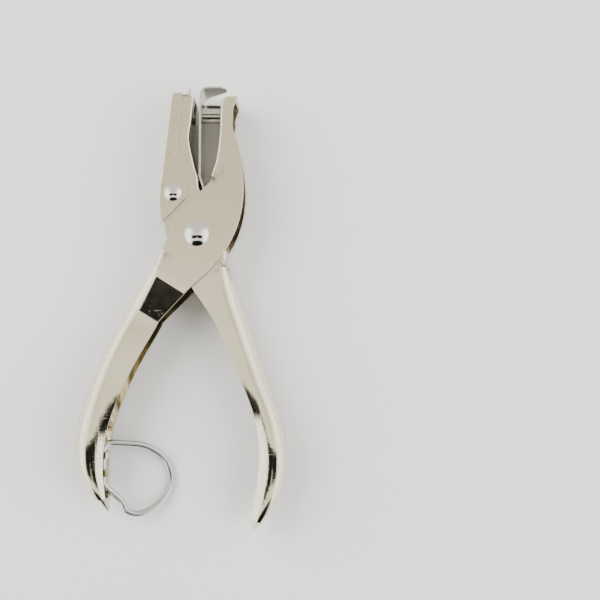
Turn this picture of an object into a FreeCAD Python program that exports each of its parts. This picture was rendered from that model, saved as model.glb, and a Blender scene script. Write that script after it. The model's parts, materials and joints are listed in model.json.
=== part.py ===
"""Hand-held single hole punch, pressed from sheet steel.

Two channel-shaped levers cross at one rivet. The outer lever carries the punch pin, the inner one
carries the die, the stripper and the hinged chad cover. The model lies on its back: the levers turn
about Z, the jaws point along +Y and the handles along -Y.
"""
import FreeCAD, Part
import Sketcher
import math
import os

from FreeCAD import Placement, Rotation, Vector

doc = FreeCAD.newDocument("HolePunch")

# ---------------------------------------------------------------- driving dimensions (mm, degrees)
SIZES = [
    ("steel", 1.0, "thickness of the lever sheet"),
    ("inner_width", 14.0, "outside width of the inner lever, over its cheeks"),
    ("cheek_gap", 0.06, "running clearance between nested cheeks"),
    ("grip_depth", 8.2, "half depth of a handle at its fullest"),
    ("handle_length", 92.0, "pivot to the tip of the outer lever's handle, along"),
    ("pin_reach", 42.1, "pivot to the line of the punch pin"),
    ("pin_radius", 3.175, "punch pin, a quarter inch across"),
    ("jaw_face", 7.6, "outer jaw's web to the pivot, across, at the pin"),
    ("pin_length", 8.4, "pin from its tip to the inside of the jaw's web"),
    ("pin_head_radius", 3.8, "flange of the pin inside the jaw"),
    ("pin_head_thick", 1.2, "thickness of that flange"),
    ("die_clearance", 0.08, "pin to die, on the radius"),
    ("die_wall", 0.6, "wall of the die bush"),
    ("die_length", 3.0, "length of the die bush"),
    ("closing_angle", 6.3, "travel of the levers"),
    ("throat", 2.1, "paper gap between the die and the stripper"),
    ("stripper_thick", 0.6, "stripper sheet"),
    ("stripper_width", 12.4, "stripper across the jaws"),
    ("stripper_play", 0.3, "pin to stripper, on the radius"),
    ("lip_length", 9.0, "reach of the stripper's curled lip"),
    ("lip_bend", 2.4, "inside radius of the curl"),
    ("lip_round", 2.0, "rounding of the lip's two corners"),
    ("cover_lip", 3.7, "height of the cover's nail lip"),
    ("cover_steel", 0.6, "thickness of the chad cover"),
    ("cover_gap", 0.35, "cover to the edge of the die lever"),
    ("cover_pivot_left", 8.05, "cover rivet to the pivot, across"),
    ("cover_pivot_up", 13.9, "cover rivet to the pivot, along"),
    ("cover_rivet_radius", 1.5, "shank of the cover rivet"),
    ("cover_head_radius", 2.9, "head of the cover rivet"),
    ("cover_back_radius", 2.5, "formed head of the cover rivet"),
    ("cover_head_height", 1.2, "height of that head"),
    ("pivot_radius", 2.2, "shank of the pivot rivet"),
    ("pivot_head_radius", 4.05, "head of the pivot rivet"),
    ("pivot_back_radius", 3.6, "formed head of the pivot rivet"),
    ("pivot_head_height", 1.7, "height of that head"),
    ("pivot_flat_radius", 1.9, "flat on the formed head, which the punch lies on"),
    ("back_head_height", 0.7, "height of both formed heads at the back"),
    ("sleeve_wall", 1.05, "wall of the pivot sleeve"),
    ("running_fit", 0.05, "clearance on the radius of what turns"),
    ("spring_wire", 1.4, "diameter of the return spring's wire"),
    ("spring_turns", 3.0, "full turns of the return spring"),
    ("spring_play", 0.35, "sleeve to the inside of the coil"),
    ("spring_leg", 24.0, "length of a spring leg"),
    ("loop_wire", 2.2, "diameter of the hanging loop's wire"),
    ("loop_reach", 23.0, "how far the loop stands out"),
    ("lug_length", 2.4, "length of each lug round the loop"),
    ("strip_rivet_radius", 1.2, "shank of the stripper rivet"),
    ("strip_head_radius", 2.0, "both heads of the stripper rivet"),
    ("strip_head_height", 0.5, "height of those heads"),
]
sheet = doc.addObject("Spreadsheet::Sheet", "Sizes")
for row, (alias, value, note) in enumerate(SIZES, 1):
    sheet.set(f"A{row}", note)
    sheet.set(f"B{row}", str(value))
    sheet.setAlias(f"B{row}", alias)
doc.recompute()


def size(alias):
    return float(sheet.get(alias))


steel = size("steel")
half_in = size("inner_width") / 2
half_out = half_in + size("cheek_gap") + steel


def xy(across, along):
    """A point in the plane of the levers, measured from the pivot."""
    return Vector(across, along, 0)


def unit(angle):
    """Unit vector in the plane of the levers, at an angle in degrees from +X."""
    return Vector(math.cos(math.radians(angle)), math.sin(math.radians(angle)), 0)


# ---------------------------------------------------------------- helpers for the document
def bound(text):
    """The same sum with every word looked up in the sheet."""
    words = sorted((alias for alias, _, _ in SIZES), key=len, reverse=True)
    for number, word in enumerate(words):
        text = text.replace(word, f"@{number}@")
    for number, word in enumerate(words):
        text = text.replace(f"@{number}@", f"Sizes.{word}")
    return text


def worth(text):
    return float(sheet.evalExpression(bound(text)))


def attach(body, name, role):
    """A new sketch on one of the body's own origin planes."""
    sketch = body.newObject("Sketcher::SketchObject", name)
    plane = [item for item in body.Origin.OriginFeatures if item.Role == role][0]
    sketch.AttachmentSupport = [(plane, "")]
    sketch.MapMode = "FlatFace"
    return sketch


def turned(name, outline, domes=()):
    """A body turned about its own Z axis from a chain of (radius, height) sums.

    The chain runs anticlockwise from the lowest point. Numbers in domes name the stretches that are
    arcs centred on the axis.
    """
    body = doc.addObject("PartDesign::Body", name)
    sketch = attach(body, name + "_profile", "XZ_Plane")
    points = [(worth(radius), worth(height)) for radius, height in outline]
    count = len(points)
    for index in range(count):
        (r0, h0), (r1, h1) = points[index], points[(index + 1) % count]
        if index in domes:
            centre = (h1 * h1 + r1 * r1 - h0 * h0 - r0 * r0) / (2 * (h1 - h0))
            reach = math.hypot(r0, h0 - centre)
            first = math.atan2(h0 - centre, r0)
            last = math.atan2(h1 - centre, r1)
            circle = Part.Circle(Vector(0, centre, 0), Vector(0, 0, 1), reach)
            sketch.addGeometry(Part.ArcOfCircle(circle, first, last), False)
        else:
            sketch.addGeometry(Part.LineSegment(Vector(r0, h0, 0), Vector(r1, h1, 0)), False)
    for index in range(count):
        sketch.addConstraint(Sketcher.Constraint("Coincident", index, 2, (index + 1) % count, 1))
        if index in domes:
            sketch.addConstraint(Sketcher.Constraint("PointOnObject", index, 3, -2))
    for index, (radius, height) in enumerate(outline):
        for kind, text, value, axis in (("DistanceX", radius, points[index][0], -2),
                                        ("DistanceY", height, points[index][1], -1)):
            if text == "0":
                sketch.addConstraint(Sketcher.Constraint("PointOnObject", index, 1, axis))
                continue
            number = sketch.addConstraint(Sketcher.Constraint(kind, -1, 1, index, 1, value))
            sketch.setExpression(f"Constraints[{number}]", bound(text))
    turn = body.newObject("PartDesign::Revolution", name + "_turn")
    turn.Profile = sketch
    turn.ReferenceAxis = (sketch, ["V_Axis"])
    turn.Angle = 360
    body.Label = name
    return body


def formed(name, shape, place=None):
    """A pressed or bent piece, whose shape is worked out from the sheet's sizes."""
    feature = doc.addObject("Part::Feature", name)
    feature.Shape = shape
    feature.Label = name
    feature.Placement = place or Placement()
    return feature


# ---------------------------------------------------------------- helpers for sheet metal
def chain(*stretches):
    """One wire through stretches: two points make a line, more make a smooth curve.

    A smooth curve takes its end directions from the lines beside it.
    """
    edges = []
    for index, points in enumerate(stretches):
        if len(points) == 2:
            edges.append(Part.makeLine(points[0], points[1]))
            continue
        curve = Part.BSplineCurve()
        before = stretches[index - 1] if index else None
        after = stretches[index + 1] if index + 1 < len(stretches) else None
        first = before[-1] - before[-2] if before and len(before) == 2 else points[1] - points[0]
        last = after[1] - after[0] if after and len(after) == 2 else points[-1] - points[-2]
        curve.interpolate(Points=points, InitialTangent=first, FinalTangent=last, Scale=True)
        edges.append(curve.toShape())
    return edges


def slab(edges, low, high):
    """The closed chain of edges as a solid between two heights."""
    face = Part.Face(Part.Wire(Part.__sortEdges__(edges)))
    face.translate(Vector(0, 0, low))
    return face.extrude(Vector(0, 0, high - low))


def on_chain(edge, web, height):
    """True for the edges that run along the web at the top or bottom of a slab."""
    middle = edge.valueAt((edge.FirstParameter + edge.LastParameter) / 2)
    if abs(abs(middle.z) - height) > 1e-6:
        return False
    flat = Part.Vertex(Vector(middle.x, middle.y, 0))
    return min(part.distToShape(flat)[0] for part in web) < 1e-6


def beside(stretches, inset):
    """The same stretches moved to their right by the inset."""
    moved = []
    for points, edge in zip(stretches, chain(*stretches)):
        line = []
        for point in points:
            way = edge.tangentAt(edge.Curve.parameter(point))
            line.append(point + Vector(way.y, -way.x, 0) * inset)
        moved.append(line)
    return moved


def hollow(stretches, inset, corners):
    """Outline of the space inside a channel: its web's inner face, closed round far corners."""
    inside = beside(stretches, inset)
    points = [inside[-1][-1], *corners, inside[0][0]]
    return chain(*inside) + [Part.makeLine(a, b) for a, b in zip(points, points[1:])]


def stretch(point):
    """Handles grow along their length only, and keep their start beside the pivot."""
    if point.y > HANDLE_START:
        return point
    return xy(point.x, HANDLE_START + (point.y - HANDLE_START) * handle_growth)


def stretched(stations):
    return [(stretch(spine), stretch(edge), *rest) for spine, edge, *rest in stations]


def risen(point):
    """Jaws grow along their length only, from their start above the pivot."""
    if point.y < JAW_START:
        return point
    return xy(point.x, JAW_START + (point.y - JAW_START) * jaw_growth)


def channel(spine, edge, half, half_edge, radius):
    """Section of a handle, a channel on its side, from its spine to its two free edges.

    half is half the depth at its fullest, half_edge half the gap between the free edges, and radius
    the bend beside the spine. Returns the wire of the bent sheet and the wire round its outside.
    """
    width = (edge - spine).Length
    along = (edge - spine).normalize()
    middle = half - radius
    lean_out = width - radius
    lean_up = half_edge - middle
    turn = math.atan2(lean_up, lean_out) + math.acos(radius / math.hypot(lean_out, lean_up))

    def at(out, up):
        return spine + along * out + Vector(0, 0, up)

    def bend(centre_up, reach, first, last):
        points = [at(radius + reach * math.cos(angle), centre_up + reach * math.sin(angle))
                  for angle in (first, (first + last) / 2, last)]
        return Part.Arc(*points).toShape()

    def skin(inset):
        """Flange, bend, back, bend and flange, with the two ends of the run."""
        reach = radius - inset
        tip_out = width - inset * math.cos(turn)
        tip_up = half_edge - inset * math.sin(turn)
        on_out = radius + reach * math.cos(turn)
        on_up = middle + reach * math.sin(turn)
        edges = [
            Part.makeLine(at(tip_out, tip_up), at(on_out, on_up)),
            bend(middle, reach, turn, math.pi),
            Part.makeLine(at(inset, middle), at(inset, -middle)),
            bend(-middle, reach, math.pi, 2 * math.pi - turn),
            Part.makeLine(at(on_out, -on_up), at(tip_out, -tip_up)),
        ]
        return edges, at(tip_out, tip_up), at(tip_out, -tip_up)

    outer, outer_top, outer_low = skin(0)
    outside = Part.Wire(outer + [Part.makeLine(outer_low, outer_top)])
    if radius <= steel:
        return None, outside
    inner, inner_top, inner_low = skin(steel)
    ends = [Part.makeLine(outer_low, inner_low), Part.makeLine(inner_top, outer_top)]
    return Part.Wire(Part.__sortEdges__(outer + inner + ends)), outside


def handle(tip, spans, straight=()):
    """A handle lofted span by span through its sections and closed by a small solid nose.

    Each span is a list of sections and starts with the last one of the span before, so the sheet
    may have a crease there. The spans numbered in straight run straight from section to section.
    """
    shells = [Part.makeLoft([channel(*station)[0] for station in span], True, number in straight)
              for number, span in enumerate(spans)]
    last = spans[-1][-1]
    end = [tip + (point - tip) * NOSE_SHARE for point in last[:2]]
    end += [length * NOSE_SHARE for length in last[2:]]
    nose = Part.makeLoft([channel(*last)[1], channel(*end)[1]], True, True)
    return shells[0].multiFuse(shells[1:] + [nose])


def drilled(shape, *bores):
    for bore in bores:
        shape = shape.cut(bore)
    return shape


def along_z(radius, centre, half):
    """A cylinder right through the levers."""
    return Part.makeCylinder(radius, 2 * half, centre - Vector(0, 0, half))


# ---------------------------------------------------------------- sizes that follow from the sheet
NOSE_SHARE = 0.2      # the nose's blunt end against the last section of its handle
BIG = 80.0            # beyond the outline of either lever
FOLD = 0.9            # outside bend of a folded edge, against the thickness of its sheet
NECK_BEND = 1.3       # the same where a handle begins, and for the loop's wire at its corners
PRESSED_IN = 1.9      # each cheek of the outer handle is pressed in by this below its crease
HANDLE_START = -20.0  # below this the handles grow with their length
JAW_START = 20.0      # above this the jaws grow with their reach
DRAWN_LENGTH = 92.0   # handle length the stations of the handles are written for
DRAWN_REACH = 42.1    # pin reach the points of the jaws are written for
STRIPPER_RISE = 7.9   # top of the stripper above the pin
DIE_SET = 2.4         # the die's mouth stands this far from the pivot's own line

sleeve_radius = size("pivot_radius") + size("sleeve_wall")
half_low = half_out - PRESSED_IN
cover_in = half_in + size("cheek_gap")
cover_out = cover_in + size("cover_steel")
grip = size("grip_depth")
handle_growth = (size("handle_length") + HANDLE_START) / (DRAWN_LENGTH + HANDLE_START)
jaw_growth = (size("pin_reach") - JAW_START) / (DRAWN_REACH - JAW_START)
jaw_end = size("pin_reach") + 4.3
cover_end = jaw_end + 1.0
cover_pivot = xy(-size("cover_pivot_left"), size("cover_pivot_up"))

# The die axis stands square to the pin's circle where the pin enters the die.
die_lean = 0.9 * size("closing_angle")
die_line = unit(180 + die_lean)
die_face = unit(90 + die_lean) * size("pin_reach") - die_line * DIE_SET
FOOT_START, FOOT_END = xy(1.25, 14.4), xy(6.0, 7.6)
stripper_left = die_face.x + size("throat")
stripper_right = stripper_left + size("stripper_thick")
jaw_face = size("jaw_face")
pin_tip = jaw_face + steel - size("pin_length")
die_radius = size("pin_radius") + size("die_clearance") + size("die_wall")


def die_edge(along):
    """A point of the die lever's face, which leans with the die."""
    return xy(die_face.x + (along - die_face.y) * math.tan(math.radians(die_lean)), along)


# ---------------------------------------------------------------- outer lever, with the punch pin
def punch_lever():
    """Cheeks either side of the inner lever, a web up its jaw and a channel for a handle."""
    neck_spine, neck_edge = xy(-11.4, -5.0), xy(4.4, -12.0)
    throat_low, throat_high = xy(0.9, 14.0), xy(4.0, 17.0)
    face_low, face_high = risen(xy(jaw_face - 0.3, 35.6)), xy(jaw_face, jaw_end - 3.4)
    crown, corner = xy(jaw_face + 3.1, jaw_end), xy(jaw_face + 5.7, jaw_end + 0.1)
    spread = ([throat_high, risen(xy(jaw_face - 3.0, 20.1)), risen(xy(jaw_face - 1.8, 23.7)),
               risen(xy(jaw_face - 0.8, 29.7)), face_low],
              [face_low, face_high],
              [face_high, xy(jaw_face + 1.0, jaw_end - 1.0), crown],
              [crown, corner])
    web = chain(*spread)
    rim_low, rim_high = risen(xy(jaw_face + 3.9, 38.0)), xy(jaw_face + 4.1, jaw_end - 4.6)
    rim = chain([neck_edge, xy(9.2, -5.6), xy(12.8, 1.3), xy(14.7, 8.0), xy(15.3, 17.0),
                 risen(xy(14.7, 23.4)), risen(xy(12.6, 32.8)), rim_low],
                [rim_low, rim_high],
                [rim_high, xy(jaw_face + 4.8, jaw_end - 2.2), corner])
    side = chain([throat_low, xy(-2.4, 11.0), xy(-6.0, 7.0), xy(-8.6, 2.0), xy(-9.9, -1.8), neck_spine])
    lines = [Part.makeLine(neck_spine, neck_edge), Part.makeLine(throat_high, throat_low)]
    body = slab(web + rim + side + lines, -half_out, half_out)
    seen = [edge for edge in body.Edges if on_chain(edge, web, half_out)]
    body = body.makeFillet(FOLD * steel, seen)
    corners = [xy(BIG, jaw_end - 0.7), xy(BIG, -BIG), xy(-BIG, -BIG), xy(-BIG, throat_high.y - steel)]
    body = body.cut(slab(hollow(spread, steel, corners), -half_out + steel, half_out - steel))
    crease = (xy(-23.0, -22.7), xy(-12.6, -28.8), half_low, half_low, 5.0)
    neck = [
        (neck_spine, neck_edge, half_out, half_out, NECK_BEND * steel),
        (xy(-14.9, -10.2), xy(-2.5, -18.2), half_out, half_out, 3.2),
        (xy(-16.1, -12.1), xy(-4.0, -19.8), half_out - 0.15, half_out - 0.15, 3.6),
        crease,
    ]
    grip_part = [
        crease,
        (xy(-27.4, -31.2), xy(-15.0, -33.4), half_low + 0.1, half_low + 0.1, 5.2),
        (xy(-32.0, -40.6), xy(-19.6, -41.5), half_low + 0.4, half_low + 0.3, 5.5),
        (xy(-36.9, -53.0), xy(-25.0, -52.8), half_low + 0.9, half_low + 0.4, 6.0),
        (xy(-40.0, -66.5), xy(-29.2, -66.0), grip - 0.3, grip - 1.9, 6.0),
        (xy(-38.8, -76.5), xy(-30.2, -76.0), grip - 0.7, grip - 2.6, 4.6),
        (xy(-35.5, -83.6), xy(-29.8, -83.4), grip - 2.0, grip - 3.4, 3.0),
        (xy(-32.6, -87.1), xy(-29.5, -86.8), grip - 3.4, grip - 4.2, 1.5),
    ]
    tip = stretch(xy(-28.8, -DRAWN_LENGTH))
    return body.fuse(handle(tip, [stretched(neck), stretched(grip_part)], straight=(0,)))


# ---------------------------------------------------------------- inner lever, with the die
def die_lever():
    """A channel whose web faces the outer jaw and runs on as the spine of the handle."""
    neck_spine, neck_edge = xy(9.5, -8.5), xy(-5.6, -10.0)
    top, low = die_edge(jaw_end), die_edge(size("pin_reach") - 4.4)
    waist = low.x - 0.6 * jaw_growth
    spread = ([top, low],
              [low, risen(xy(waist, 33.4)), risen(xy(waist + 0.3, 29.8)), risen(xy(-1.6, 25.6)),
               risen(xy(-0.6, 21.6)), xy(0.35, 18.0), FOOT_START],
              [FOOT_START, FOOT_END],
              [FOOT_END, xy(8.4, 2.6), xy(9.4, -3.0), neck_spine])
    web = chain(*spread)
    back = cover_line(size("cover_steel") + size("cover_gap"), top.y)
    side = [neck_edge, xy(-9.9, -1.65), xy(-10.9, 3.0), xy(-11.2, 9.0), back[0], back[1]]
    lines = [Part.makeLine(a, b) for a, b in zip([neck_spine] + side, side + [top])]
    body = slab(web + lines, -half_in, half_in)
    seen = [edge for edge in body.Edges if on_chain(edge, web, half_in)]
    body = body.makeFillet(FOLD * steel, seen)
    corners = [xy(neck_spine.x - steel, -BIG), xy(-BIG, -BIG), xy(-BIG, BIG), xy(top.x - steel, BIG)]
    body = body.cut(slab(hollow(spread, steel, corners), -half_in + steel, half_in - steel))
    stations = [
        (neck_spine, neck_edge, half_in, half_in, NECK_BEND * steel),
        (xy(11.0, -12.8), xy(-2.2, -16.6), half_in, half_in, 3.6),
        (xy(13.6, -20.3), xy(2.4, -23.4), half_in, half_in, 5.0),
        (xy(17.6, -31.6), xy(7.6, -32.0), half_in, half_in, 5.4),
        (xy(21.7, -43.6), xy(12.6, -43.8), half_in, half_in, 5.4),
        (xy(26.3, -56.5), xy(17.9, -56.3), half_in + 0.4, half_in - 0.2, 4.8),
        (xy(29.3, -68.5), xy(20.4, -68.3), grip - 0.2, grip - 1.9, 4.6),
        (xy(29.3, -78.5), xy(20.3, -78.0), grip - 0.6, grip - 2.4, 4.4),
        (xy(26.4, -87.8), xy(19.1, -87.2), grip - 2.2, grip - 3.6, 3.4),
        (xy(21.6, -94.8), xy(18.2, -93.6), grip - 4.6, grip - 5.6, 1.5),
    ]
    return body.fuse(handle(stretch(xy(18.4, -97.9)), [stretched(stations)]))


def cover_line(inset, end):
    """The cover's back as two points, moved in towards the jaw and running up to a height."""
    low, high = cover_pivot + xy(-4.5, 0.1), xy(-8.8, cover_end)
    way = (high - low).normalize()
    low = low + Vector(way.y, -way.x, 0) * inset
    return [low, low + way * ((end - low.y) / way.y)]


# ---------------------------------------------------------------- stripper
def stripper():
    """A strip riveted to the die lever's web, standing across the throat and curled over its top."""
    thick, bend = size("stripper_thick"), size("lip_bend")
    foot, heel = on_foot(0.92), on_foot(0.34)
    top = size("pin_reach") + STRIPPER_RISE
    knee = xy(stripper_left, JAW_START - 0.5)
    start = xy(stripper_left, top - bend - thick)
    curl = start + xy(thick + bend, 0)
    reach = stripper_left + size("lip_length")
    face = [Part.makeLine(foot, heel), Part.makeLine(heel, knee), Part.makeLine(knee, start)]
    arc = Part.Arc(start, curl + unit(135) * (bend + thick), curl + xy(0, bend + thick)).toShape()
    lip = Part.makeLine(curl + xy(0, bend + thick), xy(reach, top))
    outline = Part.Wire(face + [arc, lip])
    back = outline.makeOffset2D(thick, 0, False, True, False)
    ends = [Part.makeLine(outline.OrderedVertexes[number].Point, back.OrderedVertexes[number].Point)
            for number in (0, -1)]
    half = size("stripper_width") / 2
    strip = slab(list(outline.Edges) + list(back.Edges) + ends, -half, half)
    strip = strip.cut(lip_slant(start.x + 2 * thick, reach + thick, top - bend, half, 2 * bend))
    corners = [edge for edge in strip.Edges
               if all(abs(point.X - reach) < 1e-6 for point in edge.Vertexes)
               and abs(edge.tangentAt(edge.FirstParameter).y) > 0.9]
    return strip.makeFillet(size("lip_round"), corners)


def lip_slant(near, far, low, half, height):
    """The wedge cut from the back edge of the stripper's lip, which narrows towards its end."""
    corner = Vector(near, low, -half)
    points = [corner, Vector(far, low, -half), Vector(far, low, half / 3), corner]
    return Part.Face(Part.makePolygon(points)).extrude(Vector(0, height, 0))


def on_foot(share):
    """A point of the short slope of the die lever's web that carries the stripper."""
    return FOOT_START + (FOOT_END - FOOT_START) * share


def strip_rivet_seat():
    """Where the stripper rivet crosses the outside of the die lever's web, and which way it points."""
    slope = (FOOT_END - FOOT_START).normalize()
    return on_foot(0.63), xy(-slope.y, slope.x)


# ---------------------------------------------------------------- chad cover
def chad_cover():
    """A channel round the back of the die jaw, hinged on a rivet, with a nail lip on its end wall."""
    metal = size("cover_steel")
    end = cover_end
    low, high = cover_line(0, end)
    hip, tip, corner = (cover_pivot + xy(*offset) for offset in ((-4.1, -5.4), (-3.7, -10.2), (3.65, -2.5)))
    waist = [cover_pivot + xy(4.55, 0.7), cover_pivot + xy(3.25, 4.7)]
    edge_low, edge_high, shoulder = risen(xy(-6.6, 28.0)), risen(xy(-6.3, 33.7)), risen(xy(-6.0, 38.6))
    outline = chain([high, low],
                    [low, hip],
                    [hip, tip],
                    [tip, corner],
                    [corner, *waist, risen(xy(-6.2, 22.6)), edge_low],
                    [edge_low, edge_high],
                    [edge_high, shoulder],
                    [shoulder, xy(-5.2, end)],
                    [xy(-5.2, end), high])
    body = slab(outline, -cover_out, cover_out)
    seen = [edge for edge in body.Edges if on_chain(edge, outline[:1], cover_out)]
    body = body.makeFillet(FOLD * metal, seen)
    inner_low, inner_high = cover_line(metal, end - metal)
    inner_low = inner_low + (inner_low - inner_high).normalize() * metal
    corners = [inner_high, inner_low, xy(-BIG, inner_low.y), xy(-BIG, -BIG), xy(BIG, -BIG),
               xy(BIG, end - metal), inner_high]
    space = [Part.makeLine(a, b) for a, b in zip(corners, corners[1:])]
    body = body.cut(slab(space, -cover_in, cover_in))
    wall = Part.makeBox(2.6, metal, 2 * half_in - 1.0, Vector(-5.7, end - metal, -half_in + 0.5))
    lip = Part.makeBox(metal, size("cover_lip"), 5.0, Vector(-3.1 - metal, end - metal, -2.5))
    body = body.multiFuse([wall, lip])
    bore = size("cover_rivet_radius") + size("running_fit")
    return drilled(body, along_z(bore, cover_pivot, BIG))


# ---------------------------------------------------------------- return spring
def return_spring():
    """A torsion spring round the pivot sleeve, with one leg down the inside of each handle."""
    wire = size("spring_wire")
    coil = sleeve_radius + size("spring_play") + wire / 2
    first, last = 19.0, 149.0
    pitch = wire * 1.03
    height = pitch * (size("spring_turns") + (last - first) / 360)
    helix = Part.makeHelix(pitch, height, coil)
    section = Part.Wire(Part.makeCircle(wire / 2, Vector(coil, 0, 0), Vector(0, 1, 0)))
    turns = Part.Wire(helix.Edges).makePipeShell([section], True, True)
    turns.rotate(Vector(), Vector(0, 0, 1), first)
    turns.translate(Vector(0, 0, -height / 2))
    leg = size("spring_leg")
    legs = []
    for angle, way, level in ((first, -1, -height / 2), (last, 1, height / 2)):
        start = unit(angle) * coil + Vector(0, 0, level)
        legs.append(Part.makeCylinder(wire / 2, leg, start, unit(angle + 90) * way))
    return turns.multiFuse(legs)


# ---------------------------------------------------------------- hanging loop
loop_top, loop_low = stretch(xy(-31.2, -68.6)), stretch(xy(-31.0, -82.6))
loop_way = (loop_low - loop_top).normalize()
loop_out = Vector(-loop_way.y, loop_way.x, 0)


def loop_droop():
    """The loop lies with its far side down on the table."""
    drop = half_out + size("back_head_height") - size("loop_wire") / 2
    return math.degrees(math.asin(drop / size("loop_reach")))


def hang_loop():
    """A wire bent to a D, whose straight side turns in two lugs inside the outer handle."""
    wire = size("loop_wire")
    side = (loop_low - loop_top).Length
    far = size("loop_reach")
    droop = math.radians(loop_droop())
    out_and_down = loop_out * math.cos(droop) - Vector(0, 0, math.sin(droop))

    def at(down, out):
        """A point of the loop: along its straight side and out from it, as shares of both sizes."""
        return loop_top + loop_way * side * down + out_and_down * far * out

    bend = NECK_BEND * wire
    leg_out, leg_in = at(0.05, 0.36), at(1.3, 0.2)
    corners = [bent(at(0.5, 0), at(0, 0), leg_out, bend), bent(leg_in, at(1, 0), at(0.5, 0), bend)]
    ring = [leg_out, at(0.08, 0.51), at(0.16, 0.66), at(0.27, 0.77), at(0.44, 0.885), at(0.64, 0.95),
            at(0.87, 0.985), at(1.04, 0.98), at(1.21, 0.94), at(1.47, 0.83), at(1.66, 0.645),
            at(1.72, 0.46), at(1.61, 0.32), leg_in]
    bow = Part.BSplineCurve()
    out_way, in_way = leg_out - at(0, 0), at(1, 0) - leg_in
    bow.interpolate(Points=ring, InitialTangent=out_way, FinalTangent=in_way, Scale=True)
    start = at(0.5, 0)
    first, last = corners
    edges = [Part.makeLine(start, first.firstVertex().Point), first,
             Part.makeLine(first.lastVertex().Point, leg_out), bow.toShape(),
             Part.makeLine(leg_in, last.firstVertex().Point), last,
             Part.makeLine(last.lastVertex().Point, start)]
    section = Part.Wire(Part.makeCircle(wire / 2, start, loop_way))
    return Part.Wire(edges).makePipeShell([section], True, False, 2)


def bent(before, corner, after, radius):
    """The arc that rounds a corner of the loop's wire."""
    one, two = (before - corner).normalize(), (after - corner).normalize()
    half = one.getAngle(two) / 2
    trim = radius / math.tan(half)
    middle = corner + (one + two).normalize() * (radius / math.sin(half) - radius)
    return Part.Arc(corner + one * trim, middle, corner + two * trim).toShape()


def loop_lugs():
    """Two lugs on the inside of the spine, each with an eye for the loop's straight side."""
    wire = size("loop_wire") / 2 + size("running_fit")
    lug = size("lug_length")
    side = (loop_low - loop_top).Length
    deep = 2 * (wire + 0.75)
    lugs = []
    for share, back in ((0.3, 7.9), (0.72, 6.1)):
        base = loop_top + loop_way * (side * share + lug / 2)
        block = Part.makeBox(back + deep / 2, lug, deep, Vector(-back, 0, -deep / 2))
        block.Placement = Placement(base, Rotation(loop_out, -loop_way, Vector(0, 0, 1)))
        lugs.append(block)
    eye = Part.makeCylinder(wire, side + 4, loop_top - loop_way * 2, loop_way)
    return lugs, eye


# ---------------------------------------------------------------- assembly
def upright(centre, bottom):
    """A turned piece whose axis runs along Z."""
    return Placement(centre + Vector(0, 0, bottom), Rotation())


def lying(base, way):
    """A turned piece whose axis points some way in the plane of the levers."""
    return Placement(base, Rotation(Vector(0, 0, 1), way))


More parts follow.
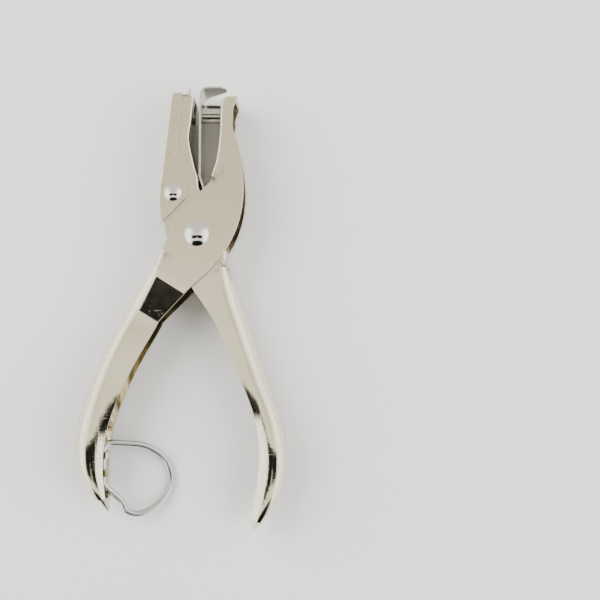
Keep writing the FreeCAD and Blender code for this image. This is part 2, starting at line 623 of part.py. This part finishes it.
def assemble():
    """Every piece about the pivot: its document object and its placement."""
    back = size("back_head_height")
    across = "inner_width + 2 * cheek_gap + 2 * steel"
    pivot = turned("pivot_rivet", [
        ("0", "0"), ("pivot_flat_radius", "0"), ("pivot_back_radius", "back_head_height"),
        ("pivot_radius", "back_head_height"),
        ("pivot_radius", "back_head_height + " + across),
        ("pivot_head_radius", "back_head_height + " + across),
        ("0", "back_head_height + " + across + " + pivot_head_height")], (1, 5))
    sleeve = turned("pivot_sleeve", [
        ("pivot_radius", "0"), ("pivot_radius + sleeve_wall", "0"),
        ("pivot_radius + sleeve_wall", "inner_width + 2 * cheek_gap"),
        ("pivot_radius", "inner_width + 2 * cheek_gap")])
    across = "inner_width + 2 * cheek_gap + 2 * cover_steel"
    hinge = turned("cover_rivet", [
        ("0", "0"), ("cover_back_radius", "back_head_height"), ("cover_rivet_radius", "back_head_height"),
        ("cover_rivet_radius", "back_head_height + " + across),
        ("cover_head_radius", "back_head_height + " + across),
        ("0", "back_head_height + " + across + " + cover_head_height")], (0, 4))
    pin = turned("punch_pin", [
        ("0", "0"), ("pin_radius", "0"), ("pin_radius", "pin_length"), ("pin_head_radius", "pin_length"),
        ("pin_head_radius", "pin_length + pin_head_thick"), ("0", "pin_length + pin_head_thick")])
    inside = "pin_radius + die_clearance"
    die = turned("die_bush", [
        (inside, "0"), (inside + " + die_wall", "0"), (inside + " + die_wall", "die_length"),
        (inside, "die_length")])
    neck = "strip_head_height + steel + stripper_thick"
    stitch = turned("stripper_rivet", [
        ("0", "0"), ("strip_head_radius", "0"), ("strip_head_radius", "strip_head_height"),
        ("strip_rivet_radius", "strip_head_height"), ("strip_rivet_radius", neck),
        ("strip_head_radius", neck), ("strip_head_radius", neck + " + strip_head_height"),
        ("0", neck + " + strip_head_height")])

    seat, out = strip_rivet_seat()
    stitch_bore = Part.makeCylinder(size("strip_rivet_radius"), 6, seat - out * 3, out)
    pin_place = lying(xy(pin_tip, size("pin_reach")), Vector(1, 0, 0))
    doc.recompute()
    pin_solid = pin.Shape.copy()
    pin_solid.Placement = pin_place
    lugs, eye = loop_lugs()
    outer = punch_lever().multiFuse(lugs)
    outer = drilled(outer, eye, along_z(size("pivot_radius"), Vector(), BIG), pin_solid)
    fit = size("running_fit")
    inner = drilled(die_lever(), along_z(sleeve_radius + fit, Vector(), BIG),
                    along_z(size("cover_rivet_radius"), cover_pivot, BIG),
                    Part.makeCylinder(die_radius, 4, die_face - die_line * 2, die_line), stitch_bore)
    closed = math.radians(size("closing_angle"))
    swing = size("pin_reach") * (1 / math.cos(closed) - 1) + stripper_right * math.tan(closed)
    guide = Part.makeCylinder(size("pin_radius") + size("stripper_play"), 6,
                              xy(stripper_left - 2, size("pin_reach") + swing / 2), Vector(1, 0, 0))
    strip = drilled(stripper(), guide, stitch_bore)
    return [
        (pivot, upright(Vector(), -half_out - back)),
        (sleeve, upright(Vector(), -half_out + steel)),
        (hinge, upright(cover_pivot, -cover_out - back)),
        (pin, pin_place),
        (die, lying(die_face, die_line)),
        (stitch, lying(seat - out * (steel + size("strip_head_height")), out)),
        (formed("punch_lever", outer), Placement()),
        (formed("die_lever", inner), Placement()),
        (formed("stripper", strip), Placement()),
        (formed("chad_cover", chad_cover()), Placement()),
        (formed("return_spring", return_spring()), Placement()),
        (formed("hang_loop", hang_loop()), Placement()),
    ]


def stand_on_origin(pieces):
    """Move the whole punch so that its box is centred over the origin and stands on Z = 0."""
    doc.recompute()
    box = FreeCAD.BoundBox()
    for piece, place in pieces:
        piece.Placement = place
        box.add(piece.Shape.optimalBoundingBox())
    shift = Placement(Vector(-box.Center.x, -box.Center.y, -box.ZMin), Rotation())
    for piece, place in pieces:
        piece.Placement = shift.multiply(place)
    doc.recompute()
    print("pivot at", [round(value, 3) for value in shift.Base])
    print("size", round(box.XLength, 2), round(box.YLength, 2), round(box.ZLength, 2))


def check():
    for item in doc.Objects:
        if "Invalid" in item.State or "Error" in item.State:
            raise RuntimeError(f"{item.Label} failed: {item.State}")


def main():
    pieces = assemble()
    stand_on_origin(pieces)
    check()
    os.makedirs("parts", exist_ok=True)
    for piece, _ in pieces:
        shape = piece.Shape
        if shape.isNull() or not shape.isValid():
            raise RuntimeError(f"{piece.Label} is not a valid solid")
        print(f"{piece.Label}: {len(shape.Solids)} solid, {shape.Volume:.1f} mm3")
    for piece, _ in pieces:
        piece.Shape.exportStep(f"parts/{piece.Label}.step")


main()
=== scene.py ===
import json
import math

import bpy
from mathutils import Matrix, Vector

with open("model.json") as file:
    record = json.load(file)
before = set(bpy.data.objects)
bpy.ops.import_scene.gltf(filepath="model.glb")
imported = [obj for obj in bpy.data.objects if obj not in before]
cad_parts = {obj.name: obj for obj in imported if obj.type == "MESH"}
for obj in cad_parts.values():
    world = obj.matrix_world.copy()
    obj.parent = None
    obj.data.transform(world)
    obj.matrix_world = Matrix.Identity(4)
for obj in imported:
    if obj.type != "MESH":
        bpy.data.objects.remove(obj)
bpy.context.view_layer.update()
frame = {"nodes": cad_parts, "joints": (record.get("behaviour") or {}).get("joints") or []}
scene = bpy.context.scene
MM = 0.001

# Colours, as linear red, green and blue with alpha.
CREAM_CEILING = (1.04, 0.98, 0.82, 1)
BRIGHT_CEILING = (1.4, 1.35, 1.18, 1)
HORIZON = (0.95, 0.96, 0.98, 1)
SOFT_BOX = (2.5, 2.5, 2.45, 1)
DARK_FIGURE = (0.012, 0.012, 0.013, 1)
# Tarnish colour, also used to paint dark reflections at the levers' necks and the throat.
TARNISH_AND_PAINTED_REFLECTION = (0.13, 0.10, 0.07, 1)
# Painted dark reflection for the sides of the stripper that face the handles.
PAINTED_DARK_REFLECTION = (0.30, 0.29, 0.26, 1)
# Painted shade for hollows and crevices, with some grime.
PAINTED_SHADE_AND_GRIME = (0.10, 0.095, 0.08, 1)
BARE_EDGE = (0.93, 0.92, 0.88, 1)
# Painted shade for the pits of the grips' stipple.
PAINTED_PIT_SHADE = (0.22, 0.20, 0.16, 1)
NICKEL = (0.87, 0.81, 0.655, 1)
WARM_NICKEL = (0.80, 0.73, 0.55, 1)


def joint_place(name):
    """Where a joint of the record turns, in metres."""
    return Vector(next(joint["pos_m"] for joint in frame["joints"] if joint["name"] == name))


pivot = joint_place("lever_pivot")


def spot(across, along, up=0.0):
    """A point measured from the pivot in millimetres."""
    return pivot + Vector((across, along, up)) * MM


# ---------------------------------------------------------------- camera
def aim(obj, target):
    """Point an object's -Z at the target, with its +Y towards the jaws."""
    back = (obj.location - target).normalized()
    side = Vector((0, 1, 0)).cross(back).normalized()
    above = back.cross(side)
    obj.rotation_euler = Matrix([[side[i], above[i], back[i]] for i in range(3)]).to_euler()


camera = bpy.data.objects.new("camera", bpy.data.cameras.new("camera"))
scene.collection.objects.link(camera)
camera.location = spot(32.3, -43.2, 306.0)
camera.data.angle = math.radians(36.4)
camera.data.clip_start = 0.01
aim(camera, spot(34.0, -21.8, 8.0))
scene.camera = camera


# ---------------------------------------------------------------- node helpers
class Net:
    """Short ways to add and join shader nodes."""

    def __init__(self, owner):
        owner.use_nodes = True
        self.tree = owner.node_tree
        self.tree.nodes.clear()

    def node(self, kind, **settings):
        item = self.tree.nodes.new(kind)
        for key, value in settings.items():
            setattr(item, key, value)
        return item

    def feed(self, socket, value):
        if isinstance(value, bpy.types.NodeSocket):
            self.tree.links.new(value, socket)
        elif value is not None:
            socket.default_value = value

    def math(self, how, one, two=None, three=None):
        item = self.node("ShaderNodeMath", operation=how)
        for socket, value in zip(item.inputs, (one, two, three)):
            self.feed(socket, value)
        return item.outputs[0]

    def times(self, *values):
        product = values[0]
        for value in values[1:]:
            product = self.math("MULTIPLY", product, value)
        return product

    def step(self, value, low, high):
        """0 on the low side and 1 on the high side; low may be above high."""
        item = self.node("ShaderNodeMapRange", clamp=True, interpolation_type="SMOOTHSTEP")
        self.feed(item.inputs["Value"], value)
        item.inputs["From Min"].default_value = min(low, high)
        item.inputs["From Max"].default_value = max(low, high)
        item.inputs["To Min"].default_value = float(low > high)
        item.inputs["To Max"].default_value = float(low < high)
        return item.outputs[0]

    def mix(self, share, one, two):
        item = self.node("ShaderNodeMix", data_type="RGBA")
        self.feed(item.inputs["Factor"], share)
        self.feed(item.inputs[6], one)
        self.feed(item.inputs[7], two)
        return item.outputs[2]

    def split(self, vector):
        item = self.node("ShaderNodeSeparateXYZ")
        self.feed(item.inputs[0], vector)
        return item.outputs

    def stretched(self, vector, scale, turn=0.0):
        item = self.node("ShaderNodeMapping")
        self.feed(item.inputs["Vector"], vector)
        item.inputs["Rotation"].default_value = (0, 0, math.radians(turn))
        item.inputs["Scale"].default_value = scale
        return item.outputs[0]

    def noise(self, where, scale, detail=3.0, rough=0.55):
        item = self.node("ShaderNodeTexNoise")
        self.feed(item.inputs["Vector"], where)
        item.inputs["Scale"].default_value = scale
        item.inputs["Detail"].default_value = detail
        item.inputs["Roughness"].default_value = rough
        return item.outputs["Fac"]

    def near(self, where, centre, reach):
        """1 at a point of the piece, falling to 0 at a distance."""
        item = self.node("ShaderNodeVectorMath", operation="DISTANCE")
        self.feed(item.inputs[0], where)
        item.inputs[1].default_value = centre
        return self.step(item.outputs["Value"], reach, 0.35 * reach)


# ---------------------------------------------------------------- world: a studio with a dark figure
def studio_world():
    """A pale room with a soft box at each side and a dark figure at the handles' end.

    The figure shows as two dark marks low on each rivet head, with a bright band and then its dark
    feet below them. Everything is set by direction only.
    """
    world = bpy.data.worlds.new("studio")
    net = Net(world)
    x, y, z = net.split(net.node("ShaderNodeTexCoord").outputs["Generated"])
    across = net.math("ABSOLUTE", x)
    ceiling = net.mix(net.step(y, 0.22, 0.0), CREAM_CEILING, BRIGHT_CEILING)
    room = net.mix(net.step(z, 0.0, 0.9), HORIZON, ceiling)
    boxes = net.times(net.step(across, 0.3, 0.85), net.step(z, -0.05, 0.2), net.step(y, 0.75, 0.4))
    room = net.mix(boxes, room, SOFT_BOX)
    figure = net.times(net.step(y, -0.062, -0.1), net.step(y, -0.5, -0.4), net.step(across, 0.68, 0.5))
    gap = net.times(net.step(across, 0.12, 0.04), net.step(y, -0.24, -0.34), 0.5)
    figure = net.math("SUBTRACT", figure, net.times(figure, gap))
    feet = net.times(net.step(y, -0.62, -0.7), net.step(across, 0.65, 0.45))
    dark = net.times(net.math("MAXIMUM", figure, feet), net.step(z, -0.1, 0.05))
    room = net.mix(dark, room, DARK_FIGURE)
    shade = net.node("ShaderNodeBackground")
    net.feed(shade.inputs["Color"], room)
    end = net.node("ShaderNodeOutputWorld")
    net.feed(end.inputs["Surface"], shade.outputs[0])
    return world


scene.world = studio_world()


# ---------------------------------------------------------------- lights
def area_light(name, place, target, power, colour):
    data = bpy.data.lights.new(name, "AREA")
    data.shape = "SQUARE"
    data.size = 0.5
    data.energy = power
    data.color = colour
    light = bpy.data.objects.new(name, data)
    scene.collection.objects.link(light)
    light.location = place
    aim(light, target)
    light.visible_glossy = False


middle = spot(30, -20)
area_light("key", middle + Vector((-0.45, 0.25, 0.5)), middle, 4.4, (1.0, 0.995, 0.98))
area_light("fill", middle + Vector((0.5, -0.1, 0.5)), middle, 3.2, (0.98, 0.99, 1.0))


# ---------------------------------------------------------------- floor
def paper_material():
    material = bpy.data.materials.new("pale_paper")
    net = Net(material)
    place = net.node("ShaderNodeTexCoord").outputs["Object"]
    shader = net.node("ShaderNodeBsdfPrincipled")
    cloud = net.noise(place, 6.0, 2.0)
    net.feed(shader.inputs["Base Color"],
             net.mix(cloud, (0.88, 0.885, 0.90, 1), (0.92, 0.925, 0.935, 1)))
    shader.inputs["Roughness"].default_value = 0.75
    shader.inputs["Specular IOR Level"].default_value = 0.2
    grain = net.node("ShaderNodeBump")
    grain.inputs["Strength"].default_value = 0.1
    grain.inputs["Distance"].default_value = 0.05 * MM
    net.feed(grain.inputs["Height"], net.noise(place, 1500.0, 2.0))
    net.feed(shader.inputs["Normal"], grain.outputs[0])
    end = net.node("ShaderNodeOutputMaterial")
    net.feed(end.inputs["Surface"], shader.outputs[0])
    return material


bpy.ops.mesh.primitive_plane_add(size=4.0, location=(0, 0, 0))
floor = bpy.context.object
floor.name = "floor"
floor.data.materials.append(paper_material())


# ---------------------------------------------------------------- metals
def stipple(net, place):
    """Dimples pressed in rows over the bent back of a grip: their depth, 0 to 1."""
    cells = net.node("ShaderNodeTexVoronoi", feature="F1")
    net.feed(cells.inputs["Vector"], place)
    cells.inputs["Scale"].default_value = 1000.0
    cells.inputs["Randomness"].default_value = 0.3
    dots = net.step(cells.outputs["Distance"], 0.36, 0.12)
    _, along, _ = net.split(place)
    rows = net.times(net.step(along, pivot.y - 0.028, pivot.y - 0.042),
                     net.step(along, pivot.y - 0.086, pivot.y - 0.078))
    facing = net.split(net.node("ShaderNodeTexCoord").outputs["Normal"])
    bent = net.step(net.math("ABSOLUTE", facing[2]), 0.99, 0.93)
    return net.times(dots, rows, bent)


def metal(name, bright, warm, rough, tarnish=0.5, scratch=0.5, worn=0.0, dots=False, paint_dark_side=False,
          painted_dark_reflections=()):
    """Plated or bare steel with scratches, tarnish, worn edges, and painted shade with some grime in its
    hollows.

    dots presses the grips' stipple and paints shade into its pits; the flag after it paints a dark
    reflection onto the sides that face the handles; the last argument lists places painted darker in the
    tarnish colour as dark reflections, each a point and a reach.
    """
    material = bpy.data.materials.new(name)
    net = Net(material)
    place = net.node("ShaderNodeTexCoord").outputs["Object"]
    shader = net.node("ShaderNodeBsdfPrincipled")
    shader.inputs["Metallic"].default_value = 1.0
    base = net.mix(net.noise(place, 60.0, 4.0, 0.6), bright, warm)

    patches = net.noise(place, 190.0, 6.0, 0.7)
    tarnish_and_painted_reflection = net.times(net.step(patches, 0.64, 0.76), tarnish)
    # Painted dark reflections: the listed places are darkened in the tarnish colour.
    for centre, reach in painted_dark_reflections:
        painted_reflection = net.times(net.near(place, centre, reach), net.step(patches, 0.44, 0.62))
        tarnish_and_painted_reflection = net.math("MAXIMUM", tarnish_and_painted_reflection, painted_reflection)
    base = net.mix(tarnish_and_painted_reflection, base, TARNISH_AND_PAINTED_REFLECTION)
    # Painted dark reflection: sides that face the handles are darkened in colour.
    if paint_dark_side:
        facing = net.split(net.node("ShaderNodeTexCoord").outputs["Normal"])
        base = net.mix(net.step(facing[1], -0.6, -0.9), base, PAINTED_DARK_REFLECTION)

    # Painted shade with some grime: ambient occlusion darkens hollows, crevices and surfaces under other
    # parts.
    shelter = net.node("ShaderNodeAmbientOcclusion", samples=6)
    shelter.inputs["Distance"].default_value = 5 * MM
    hollow_shade_and_grime = net.step(shelter.outputs["AO"], 0.75, 0.1)
    base = net.mix(net.times(hollow_shade_and_grime, 0.72), base, PAINTED_SHADE_AND_GRIME)

    soft = net.node("ShaderNodeBevel", samples=6)
    soft.inputs["Radius"].default_value = 0.22 * MM
    turn = net.node("ShaderNodeVectorMath", operation="DOT_PRODUCT")
    net.feed(turn.inputs[0], soft.outputs[0])
    net.feed(turn.inputs[1], net.node("ShaderNodeNewGeometry").outputs["True Normal"])
    edge = net.step(turn.outputs["Value"], 0.995, 0.9)
    rubbed = net.times(edge, worn, net.step(net.noise(place, 350.0), 0.3, 0.5))
    base = net.mix(rubbed, base, BARE_EDGE)

    lines = net.noise(net.stretched(place, (1.0, 0.06, 1.0), 28.0), 2600.0, 2.0)
    cross = net.noise(net.stretched(place, (0.08, 1.0, 1.0), -17.0), 2200.0, 2.0)
    scratches = net.math("MAXIMUM", net.step(lines, 0.66, 0.72), net.step(cross, 0.69, 0.74))
    scratches = net.times(scratches, scratch, net.step(net.noise(place, 90.0), 0.42, 0.6))
    grain = net.math("MULTIPLY_ADD", net.noise(place, 420.0, 5.0, 0.65), 0.12, rough - 0.06)
    grain = net.math("MULTIPLY_ADD", tarnish_and_painted_reflection, 0.25, grain)
    grain = net.math("MULTIPLY_ADD", scratches, 0.2, grain)
    net.feed(shader.inputs["Roughness"], net.math("MULTIPLY_ADD", hollow_shade_and_grime, 0.2, grain))

    height = net.math("MULTIPLY_ADD", scratches, -0.35, net.times(net.noise(place, 900.0, 4.0, 0.7), 0.25))
    if dots:
        dimples = stipple(net, place)
        height = net.math("MULTIPLY_ADD", dimples, -1.6, height)
        # Painted shade: the dimples' colour is darkened to show the shade in the pits.
        base = net.mix(net.times(dimples, 0.75), base, PAINTED_PIT_SHADE)
    net.feed(shader.inputs["Base Color"], base)
    bump = net.node("ShaderNodeBump")
    bump.inputs["Strength"].default_value = 0.3
    bump.inputs["Distance"].default_value = 0.06 * MM
    net.feed(bump.inputs["Height"], height)
    net.feed(bump.inputs["Normal"], soft.outputs[0])
    net.feed(shader.inputs["Normal"], bump.outputs[0])
    end = net.node("ShaderNodeOutputMaterial")
    net.feed(end.inputs["Surface"], shader.outputs[0])
    return material


# The listed places on both levers are painted dark reflections in the tarnish colour.
nickel_outer = metal("nickel_outer", NICKEL, WARM_NICKEL, 0.1, worn=0.9, dots=True, scratch=0.8,
                     painted_dark_reflections=[(spot(5.6, 20.5, 8.0), 4.5 * MM), (spot(-12.5, -8.0, 8.0), 5.0 * MM)])
nickel_inner = metal("nickel_inner", NICKEL, WARM_NICKEL, 0.1, worn=0.9, dots=True,
                     painted_dark_reflections=[(spot(10.5, -12.0, 7.0), 5.5 * MM)])
nickel_cover = metal("nickel_cover", NICKEL, WARM_NICKEL, 0.13, worn=0.7)
# The stripper's sides that face the handles get a painted dark reflection.
nickel_strip = metal("nickel_strip", (0.80, 0.78, 0.72, 1), (0.70, 0.67, 0.60, 1), 0.2, worn=0.8,
                     tarnish=0.8, paint_dark_side=True)
polished = metal("polished", (0.90, 0.89, 0.86, 1), (0.84, 0.82, 0.78, 1), 0.09, tarnish=0.2, scratch=0.3)
tool_steel = metal("tool_steel", (0.72, 0.70, 0.66, 1), (0.60, 0.58, 0.54, 1), 0.16, worn=0.6)
wire = metal("wire", (0.70, 0.72, 0.74, 1), (0.62, 0.64, 0.66, 1), 0.2, tarnish=0.2)
FINISH = {
    "punch_lever": nickel_outer, "die_lever": nickel_inner, "chad_cover": nickel_cover,
    "stripper": nickel_strip, "pivot_rivet": polished, "cover_rivet": polished,
    "stripper_rivet": polished, "pivot_sleeve": tool_steel, "punch_pin": tool_steel,
    "die_bush": tool_steel, "return_spring": wire, "hang_loop": wire,
}
for name, obj in frame["nodes"].items():
    obj.data.materials.clear()
    obj.data.materials.append(FINISH[name])
